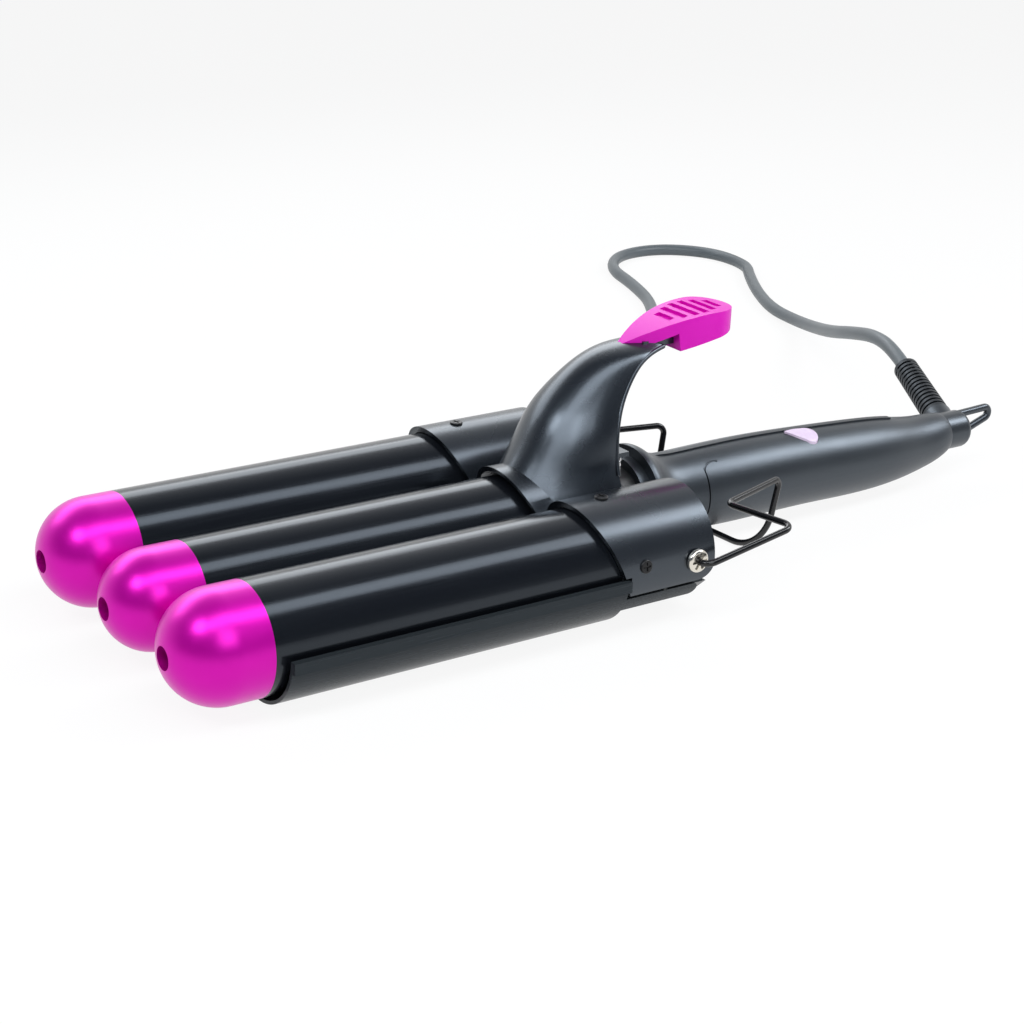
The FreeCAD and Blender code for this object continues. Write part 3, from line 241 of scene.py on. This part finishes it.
def moulded_grain_group():
    """Fine moulded or sprayed grain: a bumped normal and a roughness that drifts."""
    group, source, result = new_group("moulded_grain", SURFACE_INPUTS, SURFACE_OUTPUTS)
    place = add_node(group, "TexCoord").outputs["Object"]
    grain = add_node(group, "TexNoise", {"Vector": place, "Scale": source.outputs["Scale"],
                                         "Detail": GRAIN_DETAIL})
    cloud = add_node(group, "TexNoise", {"Vector": place, "Scale": CLOUD_SCALE, "Detail": CLOUD_DETAIL})
    link_relief(group, source, result, grain, GRAIN_HEIGHT)
    link_roughness(group, source, result, cloud)
    return group


def drawn_lines_group():
    """Hair-fine lines along the barrels, as polishing leaves them."""
    group, source, result = new_group("drawn_lines", SURFACE_INPUTS, SURFACE_OUTPUTS)
    place = add_node(group, "TexCoord").outputs["Object"]
    stretch = add_node(group, "Mapping", {"Vector": place, "Scale": LINE_STRETCH})
    lines = add_node(group, "TexNoise", {"Vector": stretch.outputs["Vector"],
                                         "Scale": source.outputs["Scale"], "Detail": LINE_DETAIL})
    link_relief(group, source, result, lines, LINE_HEIGHT)
    link_roughness(group, source, result, lines)
    return group


def tone_drift_group():
    """Slight change of tone over a surface, between two close colours."""
    group, source, result = new_group("tone_drift", [("Tone", COLOUR), ("Shade", COLOUR), ("Scale", FLOAT)],
                                      [("Color", COLOUR)])
    place = add_node(group, "TexCoord").outputs["Object"]
    cloud = add_node(group, "TexNoise", {"Vector": place, "Scale": source.outputs["Scale"],
                                         "Detail": TONE_DETAIL})
    blend = add_node(group, "Mix", {"Factor": cloud.outputs["Fac"], MIX_FIRST: source.outputs["Tone"],
                                    MIX_SECOND: source.outputs["Shade"]}, data_type="RGBA")
    group.links.new(blend.outputs[MIX_RESULT], result.inputs["Color"])
    return group


GROUPS = {"grain": moulded_grain_group(), "tone": tone_drift_group(), "lines": drawn_lines_group()}


# Finishes, one for each material slot of the record
def finish_material(name, tone, shade, roughness, metallic=0.0, surface="grain", scale=2500, depth=0.08,
                    drift=0.08, tone_scale=40, coat=0.0, coat_roughness=0.1, specular=0.5, tint=(1, 1, 1)):
    """One finish: a drifting colour with grain or drawn lines on a principled surface."""
    material = bpy.data.materials.new(name)
    material.use_nodes = True
    tree = material.node_tree
    shader = tree.nodes["Principled BSDF"]
    shader.inputs["Metallic"].default_value = metallic
    shader.inputs["Coat Weight"].default_value = coat
    shader.inputs["Coat Roughness"].default_value = coat_roughness
    shader.inputs["Specular IOR Level"].default_value = specular
    shader.inputs["Specular Tint"].default_value = (*tint, 1)
    colour = add_node(tree, "Group", {"Tone": (*tone, 1), "Shade": (*shade, 1), "Scale": tone_scale},
                      node_tree=GROUPS["tone"])
    texture = add_node(tree, "Group", {"Scale": scale, "Depth": depth, "Roughness": roughness,
                                       "Drift": drift}, node_tree=GROUPS[surface])
    tree.links.new(colour.outputs["Color"], shader.inputs["Base Color"])
    tree.links.new(texture.outputs["Normal"], shader.inputs["Normal"])
    tree.links.new(texture.outputs["Roughness"], shader.inputs["Roughness"])
    return material


COOL = (0.76, 0.87, 1.0)
FINISHES = {
    "barrel_coat": finish_material(
        "gloss_barrel_coat", tone=(0.0050, 0.0060, 0.0080), shade=(0.0038, 0.0044, 0.0060), roughness=0.19,
        surface="lines", depth=0.06, drift=0.14, tint=COOL),
    "cap_magenta": finish_material(
        "anodised_magenta", tone=(0.70, 0.001, 0.45), shade=(0.63, 0.001, 0.40), roughness=0.33,
        metallic=0.62, scale=6000, depth=0.06, drift=0.06, coat=0.15, coat_roughness=0.25, specular=0.2),
    "cover_black": finish_material(
        "gloss_cover_black", tone=(0.0052, 0.0062, 0.0082), shade=(0.0040, 0.0048, 0.0064), roughness=0.27,
        depth=0.015, drift=0.06, specular=0.95, tint=COOL),
    "tab_magenta": finish_material(
        "satin_magenta_plastic", tone=(0.70, 0.003, 0.48), shade=(0.64, 0.002, 0.43), roughness=0.34,
        scale=4000, depth=0.06, specular=0.2),
    "grip_black": finish_material(
        "soft_grip_black", tone=(0.0095, 0.0108, 0.0128), shade=(0.0072, 0.0082, 0.0098), roughness=0.35,
        scale=3800, depth=0.22, drift=0.14, specular=1.0, tint=COOL),
    "strip_black": finish_material(
        "strip_black", tone=(0.0080, 0.0090, 0.0106), shade=(0.0060, 0.0068, 0.0080), roughness=0.42,
        scale=3800, depth=0.2, specular=0.7, tint=COOL),
    "button_pink": finish_material(
        "button_lilac", tone=(0.74, 0.63, 0.77), shade=(0.66, 0.50, 0.69), roughness=0.3,
        scale=3000, depth=0.05, tone_scale=700),
    "tray_black": finish_material(
        "gloss_tray_paint", tone=(0.0210, 0.0255, 0.0285), shade=(0.0170, 0.0205, 0.0230), roughness=0.26,
        surface="lines", depth=0.05, drift=0.1, specular=0.2, tint=COOL),
    "wire_black": finish_material(
        "gloss_wire_paint", tone=(0.004, 0.004, 0.005), shade=(0.003, 0.003, 0.004), roughness=0.2,
        depth=0.04),
    "rivet_nickel": finish_material(
        "bright_nickel", tone=(0.80, 0.76, 0.68), shade=(0.68, 0.64, 0.57), roughness=0.2, metallic=1.0,
        depth=0.04),
    "spring_steel": finish_material(
        "spring_steel", tone=(0.70, 0.70, 0.72), shade=(0.6, 0.6, 0.62), roughness=0.22, metallic=1.0),
    "screw_black": finish_material(
        "black_oxide", tone=(0.008, 0.008, 0.009), shade=(0.014, 0.014, 0.015), roughness=0.32, metallic=0.4),
    "core_aluminium": finish_material(
        "cast_aluminium", tone=(0.62, 0.62, 0.63), shade=(0.5, 0.5, 0.51), roughness=0.45, metallic=1.0,
        depth=0.2),
    "insulator": finish_material(
        "dark_moulding", tone=(0.014, 0.0145, 0.016), shade=(0.010, 0.0104, 0.0115), roughness=0.45,
        depth=0.15),
    "board_green": finish_material(
        "solder_mask", tone=(0.012, 0.13, 0.05), shade=(0.01, 0.1, 0.04), roughness=0.35),
    "switch_black": finish_material(
        "switch_black", tone=(0.02, 0.02, 0.02), shade=(0.015, 0.015, 0.015), roughness=0.4),
    "elbow_black": finish_material(
        "elbow_black", tone=(0.0095, 0.0108, 0.0125), shade=(0.0072, 0.0082, 0.0095), roughness=0.31,
        depth=0.1, specular=0.95, tint=COOL),
    "relief_grey": finish_material(
        "relief_rubber", tone=(0.0085, 0.0095, 0.0112), shade=(0.0064, 0.0072, 0.0086), roughness=0.42,
        depth=0.15, tint=COOL),
    "cord_grey": finish_material(
        "cord_sheath", tone=(0.110, 0.128, 0.140), shade=(0.085, 0.099, 0.108), roughness=0.4,
        depth=0.1, tone_scale=90),
    "tie_black": finish_material(
        "tie_strap", tone=(0.012, 0.012, 0.012), shade=(0.009, 0.009, 0.009), roughness=0.6, depth=0.2),
    "plug_black": finish_material(
        "plug_rubber", tone=(0.012, 0.012, 0.013), shade=(0.009, 0.009, 0.010), roughness=0.5, depth=0.15),
    "pin_brass": finish_material(
        "plated_pin", tone=(0.75, 0.62, 0.35), shade=(0.65, 0.52, 0.28), roughness=0.25, metallic=1.0),
}
SMOOTH_ANGLE = math.radians(32)
WELD_GAP = 1e-6


def dress_nodes():
    """Gives each solid its finish and smooth shading up to its real edges."""
    slots = {part["node"]: part["material_slot"] for part in frame["record"]["subparts"]}
    for name, node in nodes.items():
        node.data.materials.clear()
        node.data.materials.append(FINISHES[slots[name]])
        weld = node.modifiers.new("merge_faces", "WELD")
        weld.merge_threshold = WELD_GAP
        split = node.modifiers.new("real_edges", "EDGE_SPLIT")
        split.split_angle = SMOOTH_ANGLE
        for face in node.data.polygons:
            face.use_smooth = True


def dress_piece(piece, slot):
    """Gives the active new piece its finish and smooth shading."""
    bpy.ops.object.shade_smooth_by_angle(angle=SMOOTH_ANGLE)
    piece.data.materials.clear()
    piece.data.materials.append(FINISHES[slot])


# Return springs, which the lever presses flat towards their seat on the neck
SPRING_X = 167.0
SPRING_Y = 5.5
SPRING_RADIUS = 2.55
SPRING_WIRE = 0.55
SPRING_WIRE_SIDES = 10
SPRING_LOW = 8.57
SPRING_HIGH = 15.85
SPRING_TURNS = 4.5
SPRING_STEPS_PER_TURN = 24


def add_return_spring(name, node, side):
    """A ring of wire turned up a screw line, with its two cut ends closed."""
    deselect()
    bpy.ops.mesh.primitive_circle_add(radius=SPRING_WIRE * MM, vertices=SPRING_WIRE_SIDES,
                                      rotation=(math.pi / 2, 0, 0))
    spring = bpy.context.object
    spring.name = name
    bpy.ops.object.transform_apply(location=True, rotation=True, scale=True)
    bpy.ops.object.mode_set(mode="EDIT")
    bpy.ops.transform.translate(value=(SPRING_RADIUS * MM, 0, 0))
    bpy.ops.object.mode_set(mode="OBJECT")
    coil = spring.modifiers.new("coil", "SCREW")
    coil.angle = math.radians(360 * SPRING_TURNS)
    coil.screw_offset = (SPRING_HIGH - SPRING_LOW) * MM
    coil.steps = int(SPRING_TURNS * SPRING_STEPS_PER_TURN)
    coil.render_steps = coil.steps
    bpy.ops.object.modifier_apply(modifier=coil.name)
    bpy.ops.object.mode_set(mode="EDIT")
    bpy.ops.mesh.select_all(action="SELECT")
    bpy.ops.mesh.fill_holes(sides=0)
    bpy.ops.mesh.select_all(action="SELECT")
    bpy.ops.mesh.normals_make_consistent(inside=False)
    bpy.ops.object.mode_set(mode="OBJECT")
    spring.location = at(SPRING_X, side * SPRING_Y, SPRING_LOW)
    bpy.ops.object.transform_apply(location=True, rotation=True, scale=True)
    dress_piece(spring, "spring_steel")
    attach(spring, "base")
    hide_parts(node)
    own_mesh(spring)


# Rolled bead along each rear edge of the lever: x, half width and z of its line, from the cover up to the tab
BEAD_RADIUS = 0.7
BEAD_ROUNDING = 3
BEAD_BEVEL = 4
BEAD_LINE = [(159.9, 18.4, 15.0), (159.5, 17.3, 19.5), (160.3, 15.9, 27.9), (162.7, 13.8, 34.3),
             (167.0, 11.5, 40.2), (172.4, 9.3, 45.2), (178.4, 7.5, 47.6), (184.0, 6.2, 48.4)]


def add_lever_bead(name, side):
    """A chain of edges extruded along the rim, rounded and thickened to a tube."""
    line = [at(x, side * half, z) for x, half, z in BEAD_LINE]
    deselect()
    bpy.ops.mesh.primitive_plane_add(size=BEAD_RADIUS * MM, location=line[0])
    bead = bpy.context.object
    bead.name = name
    bpy.ops.object.transform_apply(location=True, rotation=True, scale=True)
    bpy.ops.object.mode_set(mode="EDIT")
    bpy.ops.mesh.merge(type="CENTER")
    for last, following in zip(line, line[1:]):
        bpy.ops.mesh.extrude_vertices_move(TRANSFORM_OT_translate={"value": following - last})
    bpy.ops.object.mode_set(mode="OBJECT")
    rounding = bead.modifiers.new("round_chain", "SUBSURF")
    rounding.levels = BEAD_ROUNDING
    rounding.render_levels = BEAD_ROUNDING
    bpy.ops.object.modifier_apply(modifier=rounding.name)
    bpy.ops.object.convert(target="CURVE")
    bead = bpy.context.object
    bead.data.bevel_depth = BEAD_RADIUS * MM
    bead.data.bevel_resolution = BEAD_BEVEL
    bead.data.use_fill_caps = True
    bpy.ops.object.convert(target="MESH")
    bead = bpy.context.object
    dress_piece(bead, "cover_black")
    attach(bead, "jaw")


# Cord: one smooth line from the strain relief through the lead and the hank to the plug
CORD_RADIUS = 2.5
CORD_DIAMETER = 2 * CORD_RADIUS
CORD_SPLINE_ORDER = 3
CORD_STEPS = 10
CORD_BEVEL = 5

ELBOW = (317.8, 0.0, -2.4)
BRANCH = Vector((0.357, 0.899, 0.253)).normalized()
EXIT_REACH = 40.0
EXIT_GAP = 0.1
EXIT_RUN = 13.5
FLOOR_GAP = 0.05
FLOOR_LINE = TABLE + CORD_RADIUS + FLOOR_GAP
LEAD_ROUTE = [(342.5, 63.5, 11.3), (350.5, 84.0, 6.0), (363.0, 107.0, -1.5), (379.0, 133.0, -9.0),
              (391.5, 158.0, -14.2), (398.0, 181.0, -15.7), (410.0, 204.5, FLOOR_LINE),
              (425.0, 227.5, FLOOR_LINE), (437.0, 243.5, FLOOR_LINE), (437.5, 268.5, FLOOR_LINE),
              (419.5, 286.0, FLOOR_LINE), (394.5, 285.0, FLOOR_LINE), (376.5, 267.5, FLOOR_LINE),
              (369.0, 241.0, FLOOR_LINE), (357.0, 212.0, FLOOR_LINE), (335.0, 184.5, FLOOR_LINE),
              (306.0, 161.0, FLOOR_LINE), (275.0, 138.0, FLOOR_LINE), (243.0, 118.0, FLOOR_LINE),
              (212.0, 104.5, -15.6), (190.0, 99.0, -15.3)]
LEAD_APPROACH = 22.0

HANK_MIDDLE = 101.0
HANK_RUN = 80.0
HANK_FRONT = HANK_MIDDLE - HANK_RUN / 2
HANK_REAR = HANK_MIDDLE + HANK_RUN / 2
HANK_LANE = 5.65
FOLD_RADIUS = 15.0
FOLD_STEPS = 4
HANK_NEAR = 56.0
HANK_FAR = HANK_NEAR + 2 * (FOLD_RADIUS + HANK_LANE)
HANK_GAP = 0.8
HANK_LAYER = 5.5
HANK_LOW = TABLE + HANK_GAP + CORD_RADIUS
HANK_HIGH = HANK_LOW + HANK_LAYER
HANK_WAIST = 5.0
# Each run of the hank: lane, heights at its ends, and the side to which the waist draws it in
HANK_RUNS = [(HANK_FAR, HANK_LOW, HANK_LOW, -1), (HANK_NEAR, HANK_LOW, HANK_LOW, 1),
             (HANK_FAR - HANK_LANE, HANK_LOW, HANK_LOW, -1), (HANK_NEAR + HANK_LANE, HANK_LOW, HANK_HIGH, 1),
             (HANK_FAR - HANK_LANE, HANK_HIGH, HANK_HIGH, -1), (HANK_NEAR, HANK_HIGH, HANK_HIGH, 1)]
# Control points of a run, as shares of its length, of the waist and of its rise
RUN_POINTS = [(0, 0, 0), (0.225, 0, 0.125), (0.375, 1, 0.375),
              (0.625, 1, 0.625), (0.775, 0, 0.875), (1, 0, 1)]
TAIL_TURN = math.radians(45)
TAIL_STRAIGHT = 3.0
TAIL_BEND = 25.0


def along_branch(reach):
    """A place on the line that the cord follows out of the strain relief."""
    return tuple(Vector(ELBOW) + BRANCH * reach)


def fold_route(x, y, next_y, z, ahead):
    """Control points of the half turn from one run to the next, round the outside of the fold's circle."""
    turn = math.pi / FOLD_STEPS
    reach = abs(next_y - y) / 2 / math.cos(turn / 2)
    side = 1 if next_y > y else -1
    route = []
    for step in range(FOLD_STEPS):
        angle = (step + 0.5) * turn
        route.append((x + ahead * reach * math.sin(angle),
                      (y + next_y) / 2 - side * reach * math.cos(angle), z))
    return route


def hank_route():
    """Control points of the hank's runs and of the folds between them."""
    route = []
    begin, end = HANK_REAR, HANK_FRONT
    for k, (y, low, high, inward) in enumerate(HANK_RUNS):
        for along, drawn, climb in RUN_POINTS:
            route.append((begin + (end - begin) * along, y + inward * HANK_WAIST * drawn,
                          low + (high - low) * climb))
        if k + 1 < len(HANK_RUNS):
            ahead = 1 if end > begin else -1
            route += fold_route(end, y, HANK_RUNS[k + 1][0], high, ahead)
        begin, end = end, begin
    return route


def tail_route():
    """Control points from the last run to the plug, through a bend and a bend back."""
    half_turn = math.tan(TAIL_TURN / 2)
    first_leg = (FOLD_RADIUS + HANK_LANE) * half_turn
    second_leg = TAIL_BEND * half_turn
    slant = first_leg + TAIL_STRAIGHT + second_leg
    first = (HANK_REAR + first_leg, HANK_NEAR, HANK_HIGH)
    second = (first[0] + slant * math.cos(TAIL_TURN), first[1] + slant * math.sin(TAIL_TURN), HANK_HIGH)
    end = (second[0] + second_leg + CORD_DIAMETER, second[1], HANK_HIGH)
    return [first, second, end]


def add_cord():
    """A tube along the cord's line, which lies still over its whole length."""
    leave = [along_branch(EXIT_REACH + EXIT_GAP), along_branch(EXIT_REACH + EXIT_RUN)]
    approach = (HANK_REAR + CORD_DIAMETER + LEAD_APPROACH, HANK_FAR, HANK_LOW)
    route = leave + LEAD_ROUTE + [approach] + hank_route() + tail_route()
    curve = bpy.data.curves.new("power_cord", "CURVE")
    curve.dimensions = "3D"
    curve.resolution_u = CORD_STEPS
    line = curve.splines.new("NURBS")
    line.points.add(len(route) - 1)
    for point, place in zip(line.points, route):
        point.co = (*at(*place), 1)
    line.order_u = CORD_SPLINE_ORDER
    line.use_endpoint_u = True
    cord = bpy.data.objects.new("power_cord", curve)
    bpy.context.scene.collection.objects.link(cord)
    path = [tuple(point.co) for point in bpy.data.meshes.new_from_object(cord).vertices]
    curve.bevel_depth = CORD_RADIUS * MM
    curve.bevel_resolution = CORD_BEVEL
    curve.use_fill_caps = True
    deselect()
    cord.select_set(True)
    bpy.context.view_layer.objects.active = cord
    bpy.ops.object.convert(target="MESH")
    cord = bpy.context.object
    dress_piece(cord, "cord_grey")
    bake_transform(cord)
    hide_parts("cord_lead", "cord_hank")


bpy.context.scene.view_settings.view_transform = "Standard"
deselect()
add_camera()
set_world()
add_lamps()
add_floor()
dress_nodes()
add_return_spring("near_return_spring", "left_spring", -1)
add_return_spring("far_return_spring", "right_spring", 1)
add_lever_bead("near_lever_bead", -1)
add_lever_bead("far_lever_bead", 1)
add_cord()
